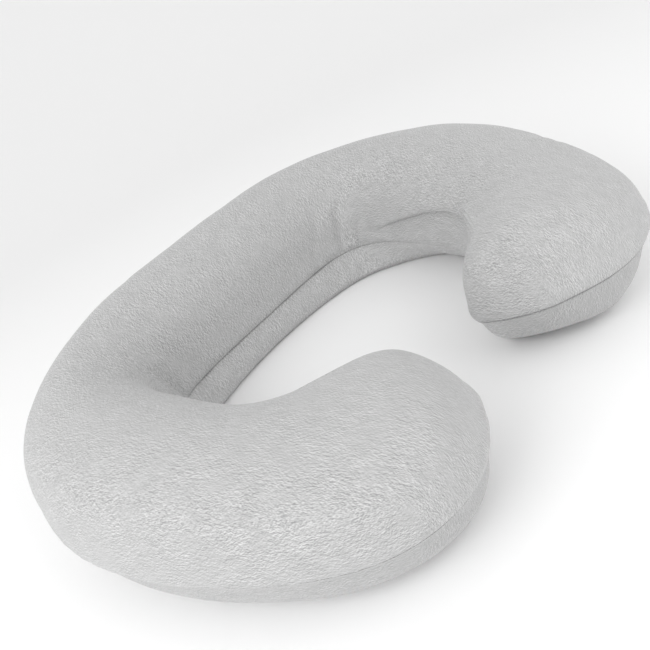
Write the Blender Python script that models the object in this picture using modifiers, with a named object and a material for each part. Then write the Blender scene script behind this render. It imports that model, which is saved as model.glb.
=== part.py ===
"""A C-shaped body pillow: one filled cloth solid, lying flat on its underside.

The pillow is symmetric about the plane x = 0. Its back runs along X at +Y, two arms
turn forward from it, and their round ends curl in towards each other at -Y, so that the
hollow of the C is open through a narrow mouth. Two cloth panels meet in one seam that
runs all the way round the side.

A coarse cage is lofted through the sections of the right half, from the middle of the
back to the rounded end of the arm. Mirror completes it and Subdivision Surface rounds it.
Metres, +Z up, the underside at z = 0, the origin under the middle of the whole outline.
"""

from collections import namedtuple

import bmesh
import bpy
from mathutils import Vector

NAME = "body_pillow"

# Heights of the seam between the upper and the lower panel.
SEAM_HEIGHT = 0.130      # above the surface, on the outer side of the C
INNER_SEAM_DROP = 0.055  # how much lower the seam runs on the side of the hollow

# The round end of each arm: its seam's cage points past the last section, from the outer
# to the inner side. across: share of the half width, outward positive. reach: share of
# END_REACH.
END_REACH = 0.105
EndPoint = namedtuple("EndPoint", "across reach")
END = (
    EndPoint(across=0.30, reach=0.7),
    EndPoint(across=0.00, reach=1.0),
    EndPoint(across=-0.80, reach=0.6),
)

# Each cage section of the right half, from the middle of the back to the end of the arm.
# x, y: its centre. half_width: half its width. crown: height of the top above the seam.
# base: width of the underside, as a share of what BASE gives.
# tuck: how far the underside's inner edge is drawn in under the section, in half widths.
# wall: how far the side of the hollow stands out, as a share of what the cage gives.
Station = namedtuple("Station", "x y half_width crown base tuck wall")
STATIONS = (
    Station(x=0.000, y=0.390, half_width=0.145, crown=0.215, base=1.0, tuck=0.00, wall=1.00),
    Station(x=0.295, y=0.380, half_width=0.115, crown=0.220, base=1.0, tuck=-0.65, wall=1.00),
    Station(x=0.475, y=0.255, half_width=0.175, crown=0.180, base=1.0, tuck=-0.35, wall=0.85),
    Station(x=0.490, y=0.010, half_width=0.175, crown=0.185, base=1.0, tuck=0.60, wall=1.10),
    Station(x=0.425, y=-0.200, half_width=0.160, crown=0.160, base=1.0, tuck=0.45, wall=0.95),
    Station(x=0.290, y=-0.320, half_width=0.220, crown=0.140, base=1.0, tuck=0.00, wall=0.60),
    Station(x=0.165, y=-0.390, half_width=0.170, crown=0.160, base=0.8, tuck=0.00, wall=1.00),
)

# The cage of one section. across: share of the half width, outward positive.
# up: share of the crown above the seam. The points further in than WALL_FROM belong to
# the side of the hollow and take the station's wall.
WALL_FROM = -0.6
OUTER_SEAM = 1.12
INNER_SEAM = 0.87
CagePoint = namedtuple("CagePoint", "across up")
TOP = (
    CagePoint(across=0.92, up=0.72),
    CagePoint(across=0.50, up=1.00),
    CagePoint(across=0.00, up=1.14),
    CagePoint(across=-0.50, up=1.00),
    CagePoint(across=-0.92, up=0.72),
)
# The underside lies on the surface, so its cage points differ only across the section.
# tuck_share: how much of the station's tuck moves the point outward.
BasePoint = namedtuple("BasePoint", "across tuck_share")
BASE = (
    BasePoint(across=-0.76, tuck_share=1.0),
    BasePoint(across=-0.38, tuck_share=0.5),
    BasePoint(across=0.00, tuck_share=0.0),
    BasePoint(across=0.38, tuck_share=0.0),
    BasePoint(across=0.76, tuck_share=0.0),
)

# How far the middle of the sections' outline lies behind y = 0; the pillow is moved
# forward by it, so that its origin is under the middle of the outline.
OUTLINE_MIDDLE_Y = 0.0005

SUBDIVISIONS = 2
MERGE_DISTANCE = 0.0001  # well under the gap between any two cage points

CLOTH_COLOUR = (0.53, 0.53, 0.53, 1.0)  # linear, light grey melange jersey
CLOTH_ROUGHNESS = 0.92


def clear_scene():
    """Remove what the file starts with."""
    for obj in list(bpy.data.objects):
        bpy.data.objects.remove(obj, do_unlink=True)


def cloth_material():
    """Matt grey cloth."""
    material = bpy.data.materials.new("grey_jersey")
    material.use_nodes = True
    shader = material.node_tree.nodes["Principled BSDF"]
    shader.inputs["Base Color"].default_value = CLOTH_COLOUR
    shader.inputs["Roughness"].default_value = CLOTH_ROUGHNESS
    shader.inputs["Metallic"].default_value = 0.0
    return material


def heading(index):
    """Direction of travel along the arm at a station, level, of length 1."""
    here = STATIONS[index]
    if index == 0:
        return Vector((1.0, 0.0, 0.0))
    before = STATIONS[index - 1]
    after = STATIONS[index + 1] if index + 1 < len(STATIONS) else here
    return Vector((after.x - before.x, after.y - before.y, 0.0)).normalized()


def outward(index):
    """Level direction across the section at a station, away from the hollow."""
    along = heading(index)
    return Vector((-along.y, along.x, 0.0))


def seam_height(across):
    """The seam falls evenly from the outer side to the side of the hollow."""
    return SEAM_HEIGHT - INNER_SEAM_DROP * (1.0 - across) / 2.0


def section_points(index):
    """Cage points round one section: outer seam, top, inner seam, underside."""
    station = STATIONS[index]
    centre = Vector((station.x, station.y, 0.0))
    side = outward(index) * station.half_width

    def point(across, height, tuck=0.0):
        wall = station.wall if across < WALL_FROM else 1.0
        return centre + side * (across * wall + tuck) + Vector((0.0, 0.0, height))

    points = [point(OUTER_SEAM, seam_height(OUTER_SEAM))]
    for cage in TOP:
        height = seam_height(cage.across) + station.crown * cage.up
        points.append(point(cage.across, height))
    points.append(point(-INNER_SEAM, seam_height(-INNER_SEAM)))
    for cage in BASE:
        across = cage.across * station.base
        points.append(point(across, 0.0, tuck=cage.tuck_share * station.tuck))
    return points


def end_points():
    """Cage points of the seam round the end of the arm, from outer to inner side."""
    last = len(STATIONS) - 1
    station = STATIONS[last]
    centre = Vector((station.x, station.y, 0.0))
    side = outward(last) * station.half_width
    forward = heading(last) * END_REACH
    points = []
    for cage in END:
        height = Vector((0.0, 0.0, seam_height(cage.across)))
        points.append(centre + side * cage.across + forward * cage.reach + height)
    return points


def build_cage():
    """The right half of the cage, open at x = 0."""
    cage = bmesh.new()
    rings = []
    for index in range(len(STATIONS)):
        rings.append([cage.verts.new(point) for point in section_points(index)])
    count = len(rings[0])
    for ring, following in zip(rings, rings[1:]):
        for here in range(count):
            there = (here + 1) % count
            cage.faces.new((ring[here], ring[there], following[there], following[here]))

    last = rings[-1]
    inner_seam = len(TOP) + 1
    top_row = last[1:inner_seam]
    base_row = last[:inner_seam:-1]
    tip_row = [last[0]] + [cage.verts.new(p) for p in end_points()] + [last[inner_seam]]
    for here in range(len(TOP) - 1):
        there = here + 1
        cage.faces.new((top_row[here], top_row[there], tip_row[there], tip_row[here]))
        cage.faces.new((tip_row[here], tip_row[there], base_row[there], base_row[here]))
    bmesh.ops.recalc_face_normals(cage, faces=cage.faces)
    return cage


def add_pillow(collection, material):
    """The filled pillow as one smooth closed solid."""
    cage = build_cage()
    mesh = bpy.data.meshes.new(NAME)
    cage.to_mesh(mesh)
    cage.free()
    mesh.materials.append(material)
    mesh.shade_smooth()
    pillow = bpy.data.objects.new(NAME, mesh)
    pillow.location.y = -OUTLINE_MIDDLE_Y
    collection.objects.link(pillow)

    mirror = pillow.modifiers.new("other_half", "MIRROR")
    mirror.use_clip = True
    mirror.merge_threshold = MERGE_DISTANCE
    rounding = pillow.modifiers.new("rounding", "SUBSURF")
    rounding.levels = SUBDIVISIONS
    rounding.render_levels = SUBDIVISIONS
    return pillow


def main():
    clear_scene()
    collection = bpy.data.collections.new(NAME)
    bpy.context.scene.collection.children.link(collection)
    add_pillow(collection, cloth_material())


main()
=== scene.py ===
"""The looks of the C-shaped body pillow: its jersey cover, seam, stitches, floor, light and camera.

The cover is rebuilt from the pillow's own sections as a finer mesh, swollen as simulated
cloth, folded along the arms and puckered along the seam, and stands for the CAD solid.
Metres, +Z up, in the CAD frame.
"""
import math
from collections import namedtuple

import bmesh
import bpy
import numpy as np
from mathutils import Matrix, Vector, kdtree, noise


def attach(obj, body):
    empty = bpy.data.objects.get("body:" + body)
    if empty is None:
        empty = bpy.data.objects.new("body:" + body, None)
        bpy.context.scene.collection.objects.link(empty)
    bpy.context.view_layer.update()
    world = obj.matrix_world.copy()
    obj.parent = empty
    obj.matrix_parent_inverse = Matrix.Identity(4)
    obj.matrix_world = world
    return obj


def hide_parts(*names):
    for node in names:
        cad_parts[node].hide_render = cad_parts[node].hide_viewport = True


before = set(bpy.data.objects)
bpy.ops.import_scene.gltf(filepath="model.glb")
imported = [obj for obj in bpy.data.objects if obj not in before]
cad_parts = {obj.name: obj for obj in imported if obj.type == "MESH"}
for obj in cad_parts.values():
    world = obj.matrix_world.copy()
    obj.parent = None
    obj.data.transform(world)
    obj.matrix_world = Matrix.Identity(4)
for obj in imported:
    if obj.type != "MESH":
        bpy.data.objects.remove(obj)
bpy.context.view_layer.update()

# ---------------------------------------------------------------- the pillow's sections
# The same sections as the solid's.
# Heights of the seam between the upper and the lower panel.
SEAM_HEIGHT = 0.130        # above the surface, on the outer side of the C
INNER_SEAM_DROP = 0.055    # how much lower the seam runs on the side of the hollow

# The round end of each arm: its seam's cage points past the last section, from the outer
# to the inner side. across: share of the half width, outward positive. reach: share of
# END_REACH.
END_REACH = 0.105
EndPoint = namedtuple("EndPoint", "across reach")
END = (
    EndPoint(across=0.30, reach=0.7),
    EndPoint(across=0.00, reach=1.0),
    EndPoint(across=-0.80, reach=0.6),
)

# Each cage section of the right half, from the middle of the back to the end of the arm.
# x, y: its centre. half_width: half its width. crown: height of the top above the seam.
# base: width of the underside, as a share of what BASE gives.
# tuck: how far the underside's inner edge is drawn in under the section, in half widths.
# wall: how far the side of the hollow stands out, as a share of what the cage gives.
Station = namedtuple("Station", "x y half_width crown base tuck wall")
STATIONS = (
    Station(x=0.000, y=0.390, half_width=0.145, crown=0.215, base=1.0, tuck=0.00, wall=1.00),
    Station(x=0.295, y=0.380, half_width=0.115, crown=0.220, base=1.0, tuck=-0.65, wall=1.00),
    Station(x=0.475, y=0.255, half_width=0.175, crown=0.180, base=1.0, tuck=-0.35, wall=0.85),
    Station(x=0.490, y=0.010, half_width=0.175, crown=0.185, base=1.0, tuck=0.60, wall=1.10),
    Station(x=0.425, y=-0.200, half_width=0.160, crown=0.160, base=1.0, tuck=0.45, wall=0.95),
    Station(x=0.290, y=-0.320, half_width=0.220, crown=0.140, base=1.0, tuck=0.00, wall=0.60),
    Station(x=0.165, y=-0.390, half_width=0.170, crown=0.160, base=0.8, tuck=0.00, wall=1.00),
)

# The cage of one section. across: share of the half width, outward positive.
# up: share of the crown above the seam. The points further in than WALL_FROM belong to
# the side of the hollow and take the station's wall.
WALL_FROM = -0.6
OUTER_SEAM = 1.12
INNER_SEAM = 0.87
CagePoint = namedtuple("CagePoint", "across up")
TOP = (
    CagePoint(across=0.92, up=0.72),
    CagePoint(across=0.50, up=1.00),
    CagePoint(across=0.00, up=1.14),
    CagePoint(across=-0.50, up=1.00),
    CagePoint(across=-0.92, up=0.72),
)
# The underside lies on the surface, so its cage points differ only across the section.
# tuck_share: how much of the station's tuck moves the point outward.
BasePoint = namedtuple("BasePoint", "across tuck_share")
BASE = (
    BasePoint(across=-0.76, tuck_share=1.0),
    BasePoint(across=-0.38, tuck_share=0.5),
    BasePoint(across=0.00, tuck_share=0.0),
    BasePoint(across=0.38, tuck_share=0.0),
    BasePoint(across=0.76, tuck_share=0.0),
)

# How far the middle of the sections' outline lies behind y = 0; the pillow is moved
# forward by it, so that its origin is under the middle of the outline.
OUTLINE_MIDDLE_Y = 0.0005

# ---------------------------------------------------------------- the mesh
UPPER, LOWER = 0, 1        # the two cloth panels, as material numbers
SUBDIVISIONS = 4
SEAM_CUTS = 5              # extra rows of faces on each side of the seam
MERGE_DISTANCE = 0.0001    # points closer than this become one
TINY = 1e-6                # the least length that anything is divided by

# ---------------------------------------------------------------- filling the cover
# The cover is simulated as cloth with the filling's pressure in it. The seam and the
# underside are held, and the rest starts a little inside its place and swells.
FILLING_PRESSURE = 4.0
DRAWN_IN = 0.004           # how far inside its place the cloth starts
SLACK = 0.003              # spare cloth all over, as a share of its length
MOST_MOVE = 0.008          # the cap on how far a point moves
SWELL_FRAMES = 20
HELD_BESIDE_SEAM = 0.006   # how far from the seam the hold fades
HELD_ABOVE_FLOOR = 0.004   # the cloth below this height is held
LEAST_HOLD = 0.001         # a weaker hold is left out

# The jersey, in the units of Blender's cloth.
CLOTH_STEPS = 5            # steps of the simulation in a frame
CLOTH_MASS = 0.3
STRETCH_STIFFNESS = 15     # against being stretched or pressed together
SHEAR_STIFFNESS = 5
BENDING_STIFFNESS = 0.3
AIR_DAMPING = 2

# ---------------------------------------------------------------- the fold along each arm
# The full upper panel hangs over the hollow along the inner side of each arm. Points on
# the fold's edge from the corner of the back to the inner side of the round end.
# depth: how far the cloth below it is drawn in. ridge: how far the cloth above it stands
# out. wrinkle: the height of the fine wrinkles that run along it.
FoldPoint = namedtuple("FoldPoint", "x y z depth ridge wrinkle")
FOLD = (
    FoldPoint(x=0.336, y=0.175, z=0.125, depth=0.000, ridge=0.000, wrinkle=0.0000),
    FoldPoint(x=0.338, y=0.120, z=0.140, depth=0.007, ridge=0.001, wrinkle=0.0000),
    FoldPoint(x=0.330, y=0.047, z=0.163, depth=0.013, ridge=0.002, wrinkle=0.0000),
    FoldPoint(x=0.323, y=-0.031, z=0.184, depth=0.016, ridge=0.002, wrinkle=0.0000),
    FoldPoint(x=0.312, y=-0.108, z=0.194, depth=0.015, ridge=0.002, wrinkle=0.0006),
    FoldPoint(x=0.279, y=-0.172, z=0.197, depth=0.012, ridge=0.004, wrinkle=0.0014),
    FoldPoint(x=0.232, y=-0.218, z=0.206, depth=0.008, ridge=0.006, wrinkle=0.0018),
    FoldPoint(x=0.181, y=-0.262, z=0.217, depth=0.003, ridge=0.002, wrinkle=0.0006),
    FoldPoint(x=0.150, y=-0.292, z=0.215, depth=0.000, ridge=0.000, wrinkle=0.0000),
)
FOLD_STEPS = 24            # points worked out between two of FOLD
FOLD_SHARPNESS = 0.006     # how far below the fold's edge the cloth is fully drawn in
FOLD_REACH = 0.055         # how far below it the cloth is back in its place
RIDGE_REACH = 0.012        # how far above it the ridge is highest
WRINKLE_PITCH = 0.0070
WRINKLE_REACH = 0.022      # how far from it the wrinkles fade
CREASE_DEPTH = 0.0015      # a narrow crease right at the fold's edge
CREASE_WIDTH = 0.0015
CREASE_FULL = 0.010        # depth of the fold at which the crease is full
FINE_REACH = 0.050         # the mesh is finer this far from the fold
FINE_CUTS = 2              # cuts through each edge there
CREASE_REACH = 0.010       # and finer still this far from it
CREASE_CUTS = 1

# ---------------------------------------------------------------- sewing and lumps
GROOVE_DEPTH = 0.0024      # how far the seam is drawn in
GROOVE_WIDTH = 0.0050
LINE_DEPTH = 0.0030        # the narrow line where the two panels meet
LINE_WIDTH = 0.0022
SWELL_HEIGHT = 0.0050      # the upper panel stands proud beside the seam
SWELL_DISTANCE = 0.016     # and most of all this far from it
TUCK_DEPTH = 0.0045        # the lower panel is drawn back under it
TUCK_DISTANCE = 0.014
TUCK_END = 0.075           # below the seam, where the lower panel is back in its place
PUCKER_HEIGHT = 0.0016     # small gathers along the seam
PUCKER_PITCH = 0.017
PUCKER_STRETCH = 0.25      # how fast they change away from the seam, against along it
PUCKER_REACH = 0.030       # how far from the seam they fade
PANEL_SHIFT = 0.5          # the lower panel's puckers are taken this far off in the noise
LUMP_HEIGHT = 0.0014       # soft unevenness of the filling
LUMP_SIZE = 0.11
OFF_FLOOR = 0.025          # height where all this is full; on the surface there is none
STITCH_PITCH = 0.0048
STITCH_LENGTH = 0.0031
STITCH_RADIUS = 0.00042

# Each use of the noise starts this much further on in it, times its own number.
NOISE_STEP = (17.31, 5.77, 11.93)
PUCKER_NOISE, LUMP_NOISE, SMALL_LUMP_NOISE = 1, 2, 3

# ---------------------------------------------------------------- the cloth's looks
GRAIN_FAN = 1.3            # the knit's grain fans out from a point this far in front
SIDE_FROM = 0.62           # how far the cloth faces across its grain where the streaks
SIDE_FULL = 0.82           # begin to be spaced by height, and where all of them are
INNER_BLEND = 0.2          # the two sides' painted shade and painted light blend where it faces in or out less

JERSEY_ROUGHNESS = 0.92
JERSEY_SPECULAR = 0.25
JERSEY_SHEEN = 0.25
SHEEN_ROUGHNESS = 0.55
BUMP_STRENGTH = 0.12
BUMP_HEIGHT = 0.0016

STREAKS_ACROSS = 640.0     # streaks across the grain in a metre
STREAKS_ALONG = 320.0      # and along it
STREAK_STEP = 0.5          # from a light streak to the dark one beside it, in streaks
STREAK_DETAIL = 1.0
COARSE = 0.45              # scale of the coarser streaks, against the fine ones
COARSE_SHARE = 0.35
PATCHES = (28, 20, 28)     # patches with stronger flecks in a metre
PATCH_DETAIL = 1.0
CLOUDS = (60, 35, 60)      # soft clouds of lighter and darker cloth in a metre
CLOUD_DETAIL = 3.0
CLOUD_CONTRAST = 0.14
NOISE_ROUGHNESS = 0.55

# The greys of the flecks. value: the noise there, PLAIN where there is no fleck.
# grey: linear.
PLAIN = 0.5
Fleck = namedtuple("Fleck", "value grey")
FLECKS = (
    Fleck(value=0.43, grey=0.295),
    Fleck(value=PLAIN, grey=0.45),
    Fleck(value=0.57, grey=0.61),
)

LOWER_OUTER_PAINTED_SHADE = 0.91         # painted shade: the lower panel's brightness on the outer side of the C,
LOWER_INNER_PAINTED_LIGHT = 1.12         # painted light: its brightness beside the hollow, against the upper panel's
PAINTED_LINE_SHADE = 0.35          # brightness of the painted shade along the seam's line and the fold's edge
INNER_LINE = 0.40          # the painted shade of the seam's line beside the hollow, as a share of the outer one
INNER_LINE_BELOW = 0.085   # height of the seam where it counts as beside the hollow
OUTER_LINE_ABOVE = 0.105   # and where it counts as on the outer side
CREASE_PAINTED_SHADE = 0.14         # the painted shade at the fold's edge, as a share of the outer seam's
CREASE_FADE = 0.010        # how far past the ends of the fold it fades

THREAD_GREY = 0.30
THREAD_ROUGHNESS = 0.7

# ---------------------------------------------------------------- floor and light
FLOOR_RADIUS = 2.6
SWEEP_RADIUS = 2.6         # the floor curves up into a wall with this radius
SWEEP_STEPS = 16
FLOOR_SIDES = 96
FLOOR_GREY = 0.96
FLOOR_ROUGHNESS = 0.9

SKY_STRENGTH = 0.80
LAMP_DISTANCE = 3.0
LAMP_SIZE = 2.0
# azimuth, elevation: degrees to the right of the front, and up.
Lamp = namedtuple("Lamp", "name azimuth elevation watts")
LAMPS = (
    Lamp(name="key", azimuth=-80, elevation=35, watts=35),
    Lamp(name="fill", azimuth=20, elevation=35, watts=18),
)

# ---------------------------------------------------------------- camera, as in the photo
AZIMUTH = math.radians(-32.912)    # to the right of the front
ELEVATION = math.radians(29.135)
ROLL = math.radians(-27.37)        # the camera's turn in its own picture plane
CAMERA_DISTANCE = 1.336
CAMERA_TARGET = Vector((-0.025, 0.004, 0.130))
FOCAL_PIXELS = 636.556     # focal length, in pixels of the photograph
FRAME_PIXELS = 650         # its width
SENSOR = 36.0              # millimetres


# ---------------------------------------------------------------- the cover's mesh
def heading(index):
    """Direction of travel along the arm at a station, level, of length 1."""
    here = STATIONS[index]
    if index == 0:
        return Vector((1.0, 0.0, 0.0))
    before = STATIONS[index - 1]
    after = STATIONS[index + 1] if index + 1 < len(STATIONS) else here
    return Vector((after.x - before.x, after.y - before.y, 0.0)).normalized()


def outward(index):
    """Level direction across the section at a station, away from the hollow."""
    along = heading(index)
    return Vector((-along.y, along.x, 0.0))


def seam_height(across):
    """The seam falls evenly from the outer side to the side of the hollow."""
    return SEAM_HEIGHT - INNER_SEAM_DROP * (1.0 - across) / 2.0


def section_points(index):
    """Cage points round one section: outer seam, top, inner seam, underside."""
    station = STATIONS[index]
    centre = Vector((station.x, station.y - OUTLINE_MIDDLE_Y, 0.0))
    side = outward(index) * station.half_width

    def point(across, height, tuck=0.0):
        wall = station.wall if across < WALL_FROM else 1.0
        return centre + side * (across * wall + tuck) + Vector((0.0, 0.0, height))

    points = [point(OUTER_SEAM, seam_height(OUTER_SEAM))]
    for cage in TOP:
        height = seam_height(cage.across) + station.crown * cage.up
        points.append(point(cage.across, height))
    points.append(point(-INNER_SEAM, seam_height(-INNER_SEAM)))
    for cage in BASE:
        across = cage.across * station.base
        points.append(point(across, 0.0, tuck=cage.tuck_share * station.tuck))
    return points


def end_points():
    """Cage points of the seam round the end of the arm, from outer to inner side."""
    last = len(STATIONS) - 1
    station = STATIONS[last]
    centre = Vector((station.x, station.y - OUTLINE_MIDDLE_Y, 0.0))
    side = outward(last) * station.half_width
    forward = heading(last) * END_REACH
    points = []
    for cage in END:
        height = Vector((0.0, 0.0, seam_height(cage.across)))
        points.append(centre + side * cage.across + forward * cage.reach + height)
    return points


def build_cage():
    """The right half of the cage, open at x = 0, its faces numbered by panel."""
    cage = bmesh.new()
    rings = []
    for index in range(len(STATIONS)):
        rings.append([cage.verts.new(point) for point in section_points(index)])
    count = len(rings[0])
    inner_seam = len(TOP) + 1
    for ring, following in zip(rings, rings[1:]):
        for here in range(count):
            there = (here + 1) % count
            face = cage.faces.new((ring[here], ring[there], following[there], following[here]))
            face.material_index = UPPER if here < inner_seam else LOWER

    last = rings[-1]
    top_row = last[1:inner_seam]
    base_row = last[:inner_seam:-1]
    tip_row = [last[0]] + [cage.verts.new(p) for p in end_points()] + [last[inner_seam]]
    for here in range(len(TOP) - 1):
        there = here + 1
        upper = cage.faces.new((top_row[here], top_row[there], tip_row[there], tip_row[here]))
        lower = cage.faces.new((tip_row[here], tip_row[there], base_row[there], base_row[here]))
        upper.material_index = UPPER
        lower.material_index = LOWER
    bmesh.ops.recalc_face_normals(cage, faces=cage.faces)
    return cage


def smooth_mesh(name, panels):
    """The whole cover as one finely subdivided mesh, with its panels' materials."""
    cage = build_cage()
    coarse = bpy.data.meshes.new(name + "_cage")
    cage.to_mesh(coarse)
    cage.free()
    for material in panels:
        coarse.materials.append(material)
    holder = bpy.data.objects.new(name + "_cage", coarse)
    bpy.context.scene.collection.objects.link(holder)
    mirror = holder.modifiers.new("other_half", "MIRROR")
    mirror.use_clip = True
    mirror.merge_threshold = MERGE_DISTANCE
    rounding = holder.modifiers.new("rounding", "SUBSURF")
    rounding.levels = SUBDIVISIONS
    rounding.render_levels = SUBDIVISIONS
    graph = bpy.context.evaluated_depsgraph_get()
    smooth = bpy.data.meshes.new_from_object(holder.evaluated_get(graph))
    smooth.name = name
    bpy.data.objects.remove(holder)
    bpy.data.meshes.remove(coarse)
    return smooth


def is_seam(edge):
    """A seam edge lies between the two panels."""
    faces = edge.link_faces
    return len(faces) == 2 and faces[0].material_index != faces[1].material_index


def add_seam_rows(mesh):
    """Cut the faces beside the seam into narrow rows that can hold its groove."""
    work = bmesh.new()
    work.from_mesh(mesh)
    on_seam = {v for e in work.edges if is_seam(e) for v in e.verts}
    rungs = [e for e in work.edges
             if not is_seam(e) and (e.verts[0] in on_seam) != (e.verts[1] in on_seam)]
    bmesh.ops.subdivide_edges(work, edges=rungs, cuts=SEAM_CUTS, use_grid_fill=False)
    work.to_mesh(mesh)
    work.free()


def seam_loops(mesh):
    """Each closed seam as a list of its points in order, the first again at the end."""
    work = bmesh.new()
    work.from_mesh(mesh)
    edges = {e for e in work.edges if is_seam(e)}
    loops = []
    while edges:
        edge = min(edges, key=lambda e: e.index)
        start, here = edge.verts
        points = [start.co.copy()]
        while edge:
            edges.discard(edge)
            points.append(here.co.copy())
            edge = next((e for e in here.link_edges if e in edges), None)
            here = edge.other_vert(here) if edge else None
        loops.append(points)
    work.free()
    return loops


# ---------------------------------------------------------------- points as arrays
def points_and_normals(mesh):
    """The points of a mesh and the normals at them, a row for each."""
    count = len(mesh.vertices)
    points = np.empty(count * 3, np.float32)
    normals = np.empty(count * 3, np.float32)
    mesh.vertices.foreach_get("co", points)
    mesh.vertex_normals.foreach_get("vector", normals)
    return points.reshape(-1, 3).astype(float), normals.reshape(-1, 3).astype(float)


def set_points(mesh, points):
    """Move the points of a mesh there."""
    mesh.vertices.foreach_set("co", points.astype(np.float32).ravel())
    mesh.update()


def smoothstep(low, high, value):
    """0 up to low, 1 from high on, and a soft rise between."""
    share = np.clip((value - low) / (high - low), 0.0, 1.0)
    return share * share * (3.0 - 2.0 * share)


def bell(value, width):
    """1 where the value is 0, fading both ways over about that width."""
    return np.exp(-(value / width) ** 2)


def noise_at(points, size, number):
    """Smooth noise from -1 to 1 at each point, with features of about that size."""
    shift = Vector([number * step for step in NOISE_STEP])
    return np.array([noise.noise(Vector(p) / size + shift) for p in points])


def search_tree(points):
    """A tree that finds the nearest of the points, by its place in the list."""
    tree = kdtree.KDTree(len(points))
    for index, point in enumerate(points):
        tree.insert(point, index)
    tree.balance()
    return tree


def distance_run(loop):
    """How far along a loop each of its points lies."""
    steps = [(after - before).length for before, after in zip(loop, loop[1:])]
    return np.concatenate([[0.0], np.cumsum(steps)])


def near_seam(points, loops):
    """Distance of each point from the seam, and how far along the seam that is."""
    tree = search_tree([point for loop in loops for point in loop])
    run = np.concatenate([distance_run(loop) for loop in loops])
    found = [tree.find(p) for p in points]
    distance = np.array([f[2] for f in found])
    along = run[[f[1] for f in found]]
    return distance, along


def lower_points(mesh):
    """True for the points that belong to the lower panel alone."""
    lower = np.zeros(len(mesh.vertices), bool)
    upper = np.zeros(len(mesh.vertices), bool)
    for face in mesh.polygons:
        panel = lower if face.material_index == LOWER else upper
        panel[list(face.vertices)] = True
    return lower & ~upper


# ---------------------------------------------------------------- filling
def settle(cover):
    """Swell the cover as simulated cloth and keep the shape that it takes."""
    mesh = cover.data
    points, normals = points_and_normals(mesh)
    distance = near_seam(points, seam_loops(mesh))[0]
    held = np.maximum(bell(distance, HELD_BESIDE_SEAM), points[:, 2] < HELD_ABOVE_FLOOR)
    group = cover.vertex_groups.new(name="held")
    for index, weight in enumerate(held):
        if weight > LEAST_HOLD:
            group.add([index], float(weight), "REPLACE")
    set_points(mesh, points - normals * (DRAWN_IN * (1.0 - held))[:, None])

    cloth = cover.modifiers.new("filling", "CLOTH")
    settings = cloth.settings
    settings.quality = CLOTH_STEPS
    settings.mass = CLOTH_MASS
    settings.tension_stiffness = STRETCH_STIFFNESS
    settings.compression_stiffness = STRETCH_STIFFNESS
    settings.shear_stiffness = SHEAR_STIFFNESS
    settings.bending_stiffness = BENDING_STIFFNESS
    settings.air_damping = AIR_DAMPING
    settings.use_pressure = True
    settings.uniform_pressure_force = FILLING_PRESSURE
    settings.vertex_group_mass = "held"
    settings.shrink_min = -SLACK
    settings.effector_weights.gravity = 0
    cloth.collision_settings.use_collision = False
    cloth.collision_settings.use_self_collision = False
    cloth.point_cache.frame_end = SWELL_FRAMES
    for number in range(1, SWELL_FRAMES + 1):
        bpy.context.scene.frame_set(number)
    graph = bpy.context.evaluated_depsgraph_get()
    swollen = points_and_normals(cover.evaluated_get(graph).data)[0]
    cover.modifiers.remove(cloth)
    cover.vertex_groups.clear()
    bpy.context.scene.frame_set(1)

    move = swollen - points
    length = np.maximum(np.linalg.norm(move, axis=1), TINY)
    moved = points + move * (MOST_MOVE * np.tanh(length / MOST_MOVE) / length)[:, None]
    moved[:, 2] = np.maximum(moved[:, 2], 0.0)
    set_points(mesh, moved)


# ---------------------------------------------------------------- the arms' inner folds
def smooth_path(rows, steps):
    """Points along a Catmull-Rom curve through the rows."""
    rows = np.array(rows, float)
    ends = np.vstack([2 * rows[0] - rows[1], rows, 2 * rows[-1] - rows[-2]])
    path = []
    for index in range(1, len(ends) - 2):
        a, b, c, d = ends[index - 1:index + 3]
        for step in range(steps):
            t = step / steps
            path.append(0.5 * (2 * b + (c - a) * t + (2 * a - 5 * b + 4 * c - d) * t ** 2
                               + (3 * b - a - 3 * c + d) * t ** 3))
    path.append(rows[-1])
    return np.array(path)


def beside_fold(points, normals):
    """The fold's own values nearest to each point, and how far below and along it lies."""
    path = smooth_path(FOLD, FOLD_STEPS)
    tree = search_tree(path[:, :3])
    side = np.ones_like(points)
    side[points[:, 0] < 0.0, 0] = -1.0
    mirrored = points * side
    facing = normals * side
    rows = path[[tree.find(p)[1] for p in mirrored]]
    offset = mirrored - rows[:, :3]
    downhill = facing * facing[:, 2:3] - (0.0, 0.0, 1.0)
    downhill /= np.maximum(np.linalg.norm(downhill, axis=1, keepdims=True), TINY)
    below = np.einsum("ij,ij->i", offset, downhill)
    apart = np.maximum(np.einsum("ij,ij->i", offset, offset) - below ** 2, 0.0)
    return FoldPoint(*rows.T), below, np.sqrt(apart)


def crease_share(fold):
    """How much of the crease there is along the fold: all of it where the fold is deep."""
    return np.minimum(fold.depth / CREASE_FULL, 1.0)


def refine_beside_fold(mesh, cuts, reach, wrinkle_reach):
    """Cut up the faces near the arms' inner folds, and further out where they wrinkle."""
    fold, below, apart = beside_fold(*points_and_normals(mesh))
    close = np.hypot(below, apart) < np.where(fold.wrinkle > 0.0, wrinkle_reach, reach)
    work = bmesh.new()
    work.from_mesh(mesh)
    work.verts.ensure_lookup_table()
    faces = [f for f in work.faces if all(close[v.index] for v in f.verts)]
    edges = list({e for f in faces for e in f.edges})
    bmesh.ops.subdivide_edges(work, edges=edges, cuts=cuts, use_grid_fill=True)
    work.to_mesh(mesh)
    work.free()


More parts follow.
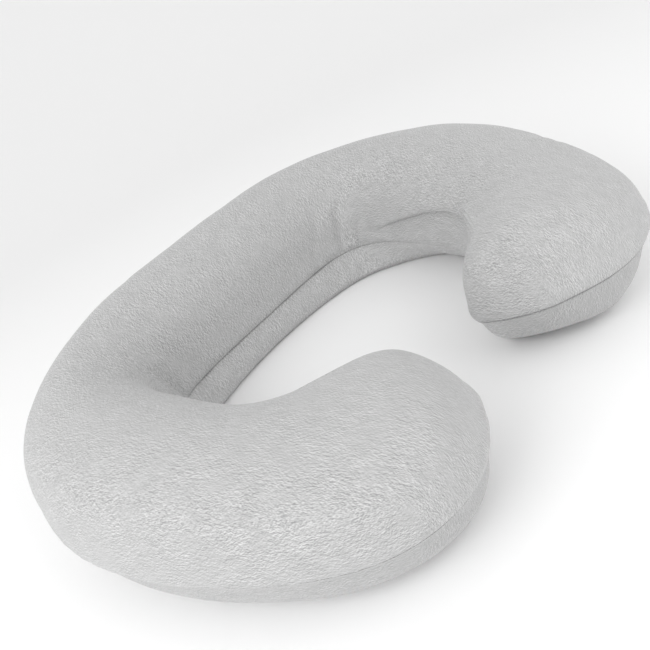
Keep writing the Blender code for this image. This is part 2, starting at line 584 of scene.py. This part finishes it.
def fold_over(mesh):
    """Draw the cloth in below each arm's inner fold, and wrinkle it along the fold."""
    points, normals = points_and_normals(mesh)
    fold, below, apart = beside_fold(points, normals)
    drawn = smoothstep(0.0, FOLD_SHARPNESS, below) * (1.0 - smoothstep(0.0, FOLD_REACH, below))
    ridge = bell(below + RIDGE_REACH, RIDGE_REACH)
    wrinkle = np.cos(below / WRINKLE_PITCH * math.tau) * bell(below, WRINKLE_REACH)
    crease = CREASE_DEPTH * crease_share(fold) * bell(below, CREASE_WIDTH)
    push = fold.ridge * ridge + fold.wrinkle * wrinkle - fold.depth * drawn - crease
    points += normals * (push * bell(apart, FOLD_REACH))[:, None]
    set_points(mesh, points)


# ---------------------------------------------------------------- sewing
def sew(mesh, loops):
    """Draw in the seam, swell the panel above it, tuck the one below and pucker both."""
    points, normals = points_and_normals(mesh)
    distance, along = near_seam(points, loops)
    lower = lower_points(mesh)
    groove = -GROOVE_DEPTH * bell(distance, GROOVE_WIDTH)
    groove -= LINE_DEPTH * bell(distance, LINE_WIDTH)
    proud = SWELL_HEIGHT * bell(distance - SWELL_DISTANCE, SWELL_DISTANCE)
    tucked = -TUCK_DEPTH * smoothstep(0.0, TUCK_DISTANCE, distance)
    tucked *= 1.0 - smoothstep(TUCK_DISTANCE, TUCK_END, distance)
    swell = np.where(lower, tucked, proud)
    panel = np.where(lower, PANEL_SHIFT, 0.0)
    line = np.stack([along, panel, distance * PUCKER_STRETCH], axis=1)
    pucker = noise_at(line, PUCKER_PITCH, PUCKER_NOISE) * np.exp(-distance / PUCKER_REACH)
    pucker *= PUCKER_HEIGHT * smoothstep(0.0, GROOVE_WIDTH, distance)
    lumps = noise_at(points, LUMP_SIZE, LUMP_NOISE)
    lumps += noise_at(points, LUMP_SIZE / 2, SMALL_LUMP_NOISE) / 2
    relief = groove + swell + pucker + LUMP_HEIGHT * lumps
    points += normals * (relief * smoothstep(0.0, OFF_FLOOR, points[:, 2]))[:, None]
    points[:, 2] = np.maximum(points[:, 2], 0.0)
    set_points(mesh, points)


# ---------------------------------------------------------------- values for the material
def store(mesh, name, values):
    """Keep a number or a vector for each point, for the material to read by that name."""
    kind, field = ("FLOAT", "value") if values.ndim == 1 else ("FLOAT_VECTOR", "vector")
    attribute = mesh.attributes.new(name, kind, "POINT")
    attribute.data.foreach_set(field, values.astype(np.float32).ravel())


def add_grain(mesh):
    """Store the cloth's own coordinates, and how far it faces across its grain."""
    points, normals = points_and_normals(mesh)
    x, y = points[:, 0], points[:, 1] + GRAIN_FAN
    across = GRAIN_FAN * np.arctan2(x, y)
    along = np.hypot(x, y)
    facing = np.abs(normals[:, 0] * y - normals[:, 1] * x) / along
    store(mesh, "grain", np.stack([across, along, points[:, 2]], axis=1))
    store(mesh, "side", smoothstep(SIDE_FROM, SIDE_FULL, facing))


def add_inner_share(mesh):
    """Store how far each point faces the hollow, from 0 to 1: the mask between painted shade and
    painted light.
    """
    points, normals = points_and_normals(mesh)
    level = np.maximum(np.hypot(points[:, 0], points[:, 1]), TINY)
    inward = -(normals[:, 0] * points[:, 0] + normals[:, 1] * points[:, 1]) / level
    store(mesh, "inner", smoothstep(-INNER_BLEND, INNER_BLEND, inward))


def add_painted_line_shade(mesh, loops):
    """Store the painted shade along the seam's line and the fold's edge, 1 where it is darkest."""
    points, normals = points_and_normals(mesh)
    distance = near_seam(points, loops)[0]
    outer = smoothstep(INNER_LINE_BELOW, OUTER_LINE_ABOVE, points[:, 2])
    seam = bell(distance, LINE_WIDTH) * (INNER_LINE + (1.0 - INNER_LINE) * outer)
    fold, below, apart = beside_fold(points, normals)
    crease = CREASE_PAINTED_SHADE * crease_share(fold) * bell(below, CREASE_WIDTH) * bell(apart, CREASE_FADE)
    store(mesh, "line_painted_shade", np.maximum(seam, crease))


# ---------------------------------------------------------------- materials
def set_inputs(tree, node, inputs):
    """Give each of a node's inputs a value, or the output that feeds it."""
    for name, value in inputs.items():
        if isinstance(value, bpy.types.NodeSocket):
            tree.links.new(value, node.inputs[name])
        else:
            node.inputs[name].default_value = value


def stored(tree, name, output):
    """What the cover keeps for each point under that name."""
    made = tree.nodes.new("ShaderNodeAttribute")
    made.attribute_name = name
    return made.outputs[output]


def worked_out(tree, kind, operation, first, second):
    """What a Math or Vector Math node makes of two values."""
    made = tree.nodes.new(kind)
    made.operation = operation
    set_inputs(tree, made, {0: first, 1: second})
    return made.outputs[0]


def scaled(tree, vector, scale):
    """The vector, each part of it times its own scale."""
    return worked_out(tree, "ShaderNodeVectorMath", "MULTIPLY", vector, scale)


def mixed(tree, share, first, second):
    """The first value at a share of 0, the second at 1."""
    made = tree.nodes.new("ShaderNodeMix")
    made.data_type = "FLOAT"
    set_inputs(tree, made, {"Factor": share, "A": first, "B": second})
    return made.outputs["Result"]


def soft_noise(tree, vector, detail):
    """Smooth noise round one half, with features of about one unit of the vector."""
    made = tree.nodes.new("ShaderNodeTexNoise")
    inputs = {"Vector": vector, "Scale": 1.0, "Detail": detail, "Roughness": NOISE_ROUGHNESS}
    set_inputs(tree, made, inputs)
    return made.outputs["Fac"]


def side_by_side(tree, vector, step):
    """Light and dark streaks side by side: a noise less the same noise one step away."""
    shifted = worked_out(tree, "ShaderNodeVectorMath", "ADD", vector, step)
    here = soft_noise(tree, vector, STREAK_DETAIL)
    beside = soft_noise(tree, shifted, STREAK_DETAIL)
    less = worked_out(tree, "ShaderNodeMath", "SUBTRACT", here, beside)
    return worked_out(tree, "ShaderNodeMath", "ADD", less, PLAIN)


def fibres(tree, vector, scale, step):
    """Fine streaks and coarser ones together."""
    fine = side_by_side(tree, scaled(tree, vector, scale), step)
    coarser = [share * COARSE for share in scale]
    coarse = side_by_side(tree, scaled(tree, vector, coarser), step)
    return mixed(tree, COARSE_SHARE, fine, coarse)


def flecks(tree, grain):
    """Fibre streaks along the grain, in stronger and fainter patches."""
    level_scale = (STREAKS_ACROSS, STREAKS_ALONG, STREAKS_ALONG)
    steep_scale = (STREAKS_ALONG, STREAKS_ALONG, STREAKS_ACROSS)
    level = fibres(tree, grain, level_scale, (STREAK_STEP, 0.0, 0.0))
    steep = fibres(tree, grain, steep_scale, (0.0, 0.0, STREAK_STEP))
    even = mixed(tree, stored(tree, "side", "Fac"), level, steep)
    patch = soft_noise(tree, scaled(tree, grain, PATCHES), PATCH_DETAIL)
    return mixed(tree, patch, PLAIN, even)


def fleck_colour(tree, fleck):
    """Dark and light fibres in mid grey cloth."""
    ramp = tree.nodes.new("ShaderNodeValToRGB")
    set_inputs(tree, ramp, {"Fac": fleck})
    stops = ramp.color_ramp.elements
    stops.new(PLAIN)
    for stop, shade in zip(stops, FLECKS):
        stop.position = shade.value
        stop.color = (shade.grey, shade.grey, shade.grey, 1.0)
    return ramp.outputs["Color"]


def clouds_and_painted_shade(tree, grain, outer, inner):
    """Brightness of the cloth: soft clouds, painted shade on the outer side of the C, painted light
    beside the hollow, and painted shade along the seam's line and the fold's edge.
    """
    hollow_painted_light_share = stored(tree, "inner", "Fac")
    # painted shade on the outer side of the C, painted light beside the hollow
    dark, light = (mixed(tree, hollow_painted_light_share, contrast * outer, contrast * inner)
                   for contrast in (1.0 - CLOUD_CONTRAST, 1.0 + CLOUD_CONTRAST))
    cloud = soft_noise(tree, scaled(tree, grain, CLOUDS), CLOUD_DETAIL)
    open_cloth = mixed(tree, cloud, dark, light)
    # painted shade along the seam's line and the fold's edge
    return mixed(tree, stored(tree, "line_painted_shade", "Fac"), open_cloth, PAINTED_LINE_SHADE)


def jersey(name, outer, inner):
    """Light grey melange jersey, matt and a little fuzzy, flecked along its grain, with painted
    shade and painted light.
    """
    material = bpy.data.materials.new(name)
    material.use_nodes = True
    tree = material.node_tree
    shader = tree.nodes["Principled BSDF"]
    shader.inputs["Roughness"].default_value = JERSEY_ROUGHNESS
    shader.inputs["Specular IOR Level"].default_value = JERSEY_SPECULAR
    shader.inputs["Sheen Weight"].default_value = JERSEY_SHEEN
    shader.inputs["Sheen Roughness"].default_value = SHEEN_ROUGHNESS

    grain = stored(tree, "grain", "Vector")
    fleck = flecks(tree, grain)
    tint = tree.nodes.new("ShaderNodeMix")
    tint.data_type = "RGBA"
    tint.blend_type = "MULTIPLY"
    colour = fleck_colour(tree, fleck)
    shade = clouds_and_painted_shade(tree, grain, outer, inner)
    set_inputs(tree, tint, {"Factor": 1.0, "A": colour, "B": shade})
    bump = tree.nodes.new("ShaderNodeBump")
    set_inputs(tree, bump, {"Strength": BUMP_STRENGTH, "Distance": BUMP_HEIGHT, "Height": fleck})
    normal = bump.outputs["Normal"]
    set_inputs(tree, shader, {"Base Color": tint.outputs["Result"], "Normal": normal})
    return material


def plain(name, grey, roughness):
    """An even grey."""
    material = bpy.data.materials.new(name)
    material.use_nodes = True
    shader = material.node_tree.nodes["Principled BSDF"]
    shader.inputs["Base Color"].default_value = (grey, grey, grey, 1.0)
    shader.inputs["Roughness"].default_value = roughness
    return material


# ---------------------------------------------------------------- pieces
def point_at(coords, run, distance):
    """The point that far along a loop."""
    return np.array([np.interp(distance, run, coords[:, axis]) for axis in range(3)])


def add_stitches(loops, points, normals):
    """Short thread stitches laid along the bottom of the seam's groove.

    The points and normals are the cover's before it was sewn.
    """
    tree = search_tree(points)
    size = Matrix.Diagonal((STITCH_RADIUS, STITCH_LENGTH / 2, STITCH_RADIUS, 1.0))
    work = bmesh.new()
    for loop in loops:
        run = distance_run(loop)
        coords = np.array(loop, float)
        count = int(run[-1] / STITCH_PITCH)
        for number in range(count):
            middle = (number + 0.5) * run[-1] / count
            tail = point_at(coords, run, middle - STITCH_LENGTH / 2)
            head = point_at(coords, run, middle + STITCH_LENGTH / 2)
            normal = Vector(normals[tree.find((tail + head) / 2)[1]])
            centre = (Vector(tail) + Vector(head)) / 2 - normal * (GROOVE_DEPTH - STITCH_RADIUS)
            along = (Vector(head) - Vector(tail)).normalized()
            side = along.cross(normal).normalized()
            turn = Matrix((side, along, side.cross(along))).transposed().to_4x4()
            place = Matrix.Translation(centre) @ turn @ size
            bmesh.ops.create_icosphere(work, subdivisions=1, radius=1.0, matrix=place)
    mesh = bpy.data.meshes.new("seam_stitches")
    work.to_mesh(mesh)
    work.free()
    mesh.shade_smooth()
    mesh.materials.append(plain("thread", THREAD_GREY, THREAD_ROUGHNESS))
    stitches = bpy.data.objects.new("seam_stitches", mesh)
    bpy.context.scene.collection.objects.link(stitches)
    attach(stitches, "root")


def add_cover():
    """The filled cover, which stands for the solid, and the stitches in its seam."""
    upper = jersey("upper_jersey", 1.0, 1.0)
    # the lower panel: the same jersey with painted shade on the outer side and painted light beside
    # the hollow
    lower = jersey("lower_jersey", LOWER_OUTER_PAINTED_SHADE, LOWER_INNER_PAINTED_LIGHT)
    mesh = smooth_mesh("cover", (upper, lower))
    cover = bpy.data.objects.new("cover", mesh)
    bpy.context.scene.collection.objects.link(cover)
    add_grain(mesh)
    settle(cover)
    refine_beside_fold(mesh, FINE_CUTS, FINE_REACH, FINE_REACH)
    refine_beside_fold(mesh, CREASE_CUTS, CREASE_REACH, WRINKLE_REACH)
    fold_over(mesh)
    add_seam_rows(mesh)
    loops = seam_loops(mesh)
    add_painted_line_shade(mesh, loops)
    add_inner_share(mesh)
    points, normals = points_and_normals(mesh)
    sew(mesh, loops)
    mesh.shade_smooth()
    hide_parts("body_pillow")
    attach(cover, "root")
    add_stitches(loops, points, normals)


# ---------------------------------------------------------------- floor, light and camera
def toward(azimuth, elevation):
    """Direction from the pillow to what stands there; azimuth 0 is in front of it."""
    return Vector((math.sin(azimuth) * math.cos(elevation),
                   -math.cos(azimuth) * math.cos(elevation),
                   math.sin(elevation)))


def add_floor():
    """A pale floor that curves up all round into a wall, with no horizon line."""
    profile = [(0.0, 0.0), (FLOOR_RADIUS, 0.0)]
    for step in range(1, SWEEP_STEPS + 1):
        turn = step / SWEEP_STEPS * math.pi / 2
        profile.append((FLOOR_RADIUS + SWEEP_RADIUS * math.sin(turn),
                        SWEEP_RADIUS * (1.0 - math.cos(turn))))
    sweep = bmesh.new()
    line = [sweep.verts.new((radius, 0.0, height)) for radius, height in profile]
    edges = [sweep.edges.new(pair) for pair in zip(line, line[1:])]
    bmesh.ops.spin(sweep, geom=line + edges, axis=(0, 0, 1), cent=(0, 0, 0),
                   angle=math.tau, steps=FLOOR_SIDES, use_merge=True, use_duplicate=False)
    bmesh.ops.remove_doubles(sweep, verts=sweep.verts, dist=MERGE_DISTANCE)
    mesh = bpy.data.meshes.new("floor")
    sweep.to_mesh(mesh)
    sweep.free()
    mesh.shade_smooth()
    mesh.materials.append(plain("pale_floor", FLOOR_GREY, FLOOR_ROUGHNESS))
    floor = bpy.data.objects.new("floor", mesh)
    bpy.context.scene.collection.objects.link(floor)


def add_light(lamp):
    """A large soft light, turned to the origin."""
    light = bpy.data.lights.new(lamp.name, "AREA")
    light.size = LAMP_SIZE
    light.energy = lamp.watts
    place = bpy.data.objects.new(lamp.name, light)
    back = toward(math.radians(lamp.azimuth), math.radians(lamp.elevation))
    place.location = back * LAMP_DISTANCE
    place.rotation_mode = "QUATERNION"
    place.rotation_quaternion = back.to_track_quat("Z", "Y")
    bpy.context.scene.collection.objects.link(place)


def add_lights():
    """A white sky with two soft lights, shown in plain colours."""
    world = bpy.data.worlds.new("studio")
    world.use_nodes = True
    sky = world.node_tree.nodes["Background"]
    sky.inputs["Color"].default_value = (1, 1, 1, 1)
    sky.inputs["Strength"].default_value = SKY_STRENGTH
    bpy.context.scene.world = world
    for lamp in LAMPS:
        add_light(lamp)
    bpy.context.scene.view_settings.view_transform = "Standard"


def add_camera():
    """The photograph's view: from the front left, above, and turned in its own plane."""
    back = toward(AZIMUTH, ELEVATION)
    level_right = Vector((math.cos(AZIMUTH), math.sin(AZIMUTH), 0.0))
    level_up = back.cross(level_right)
    right = level_right * math.cos(ROLL) + level_up * math.sin(ROLL)
    up = level_up * math.cos(ROLL) - level_right * math.sin(ROLL)
    lens = bpy.data.cameras.new("camera")
    lens.sensor_width = SENSOR
    lens.lens = FOCAL_PIXELS / FRAME_PIXELS * SENSOR
    camera = bpy.data.objects.new("camera", lens)
    place = Matrix((right, up, back)).transposed().to_4x4()
    place.translation = CAMERA_TARGET + back * CAMERA_DISTANCE
    camera.matrix_world = place
    bpy.context.scene.collection.objects.link(camera)
    bpy.context.scene.camera = camera


add_cover()
add_floor()
add_lights()
add_camera()
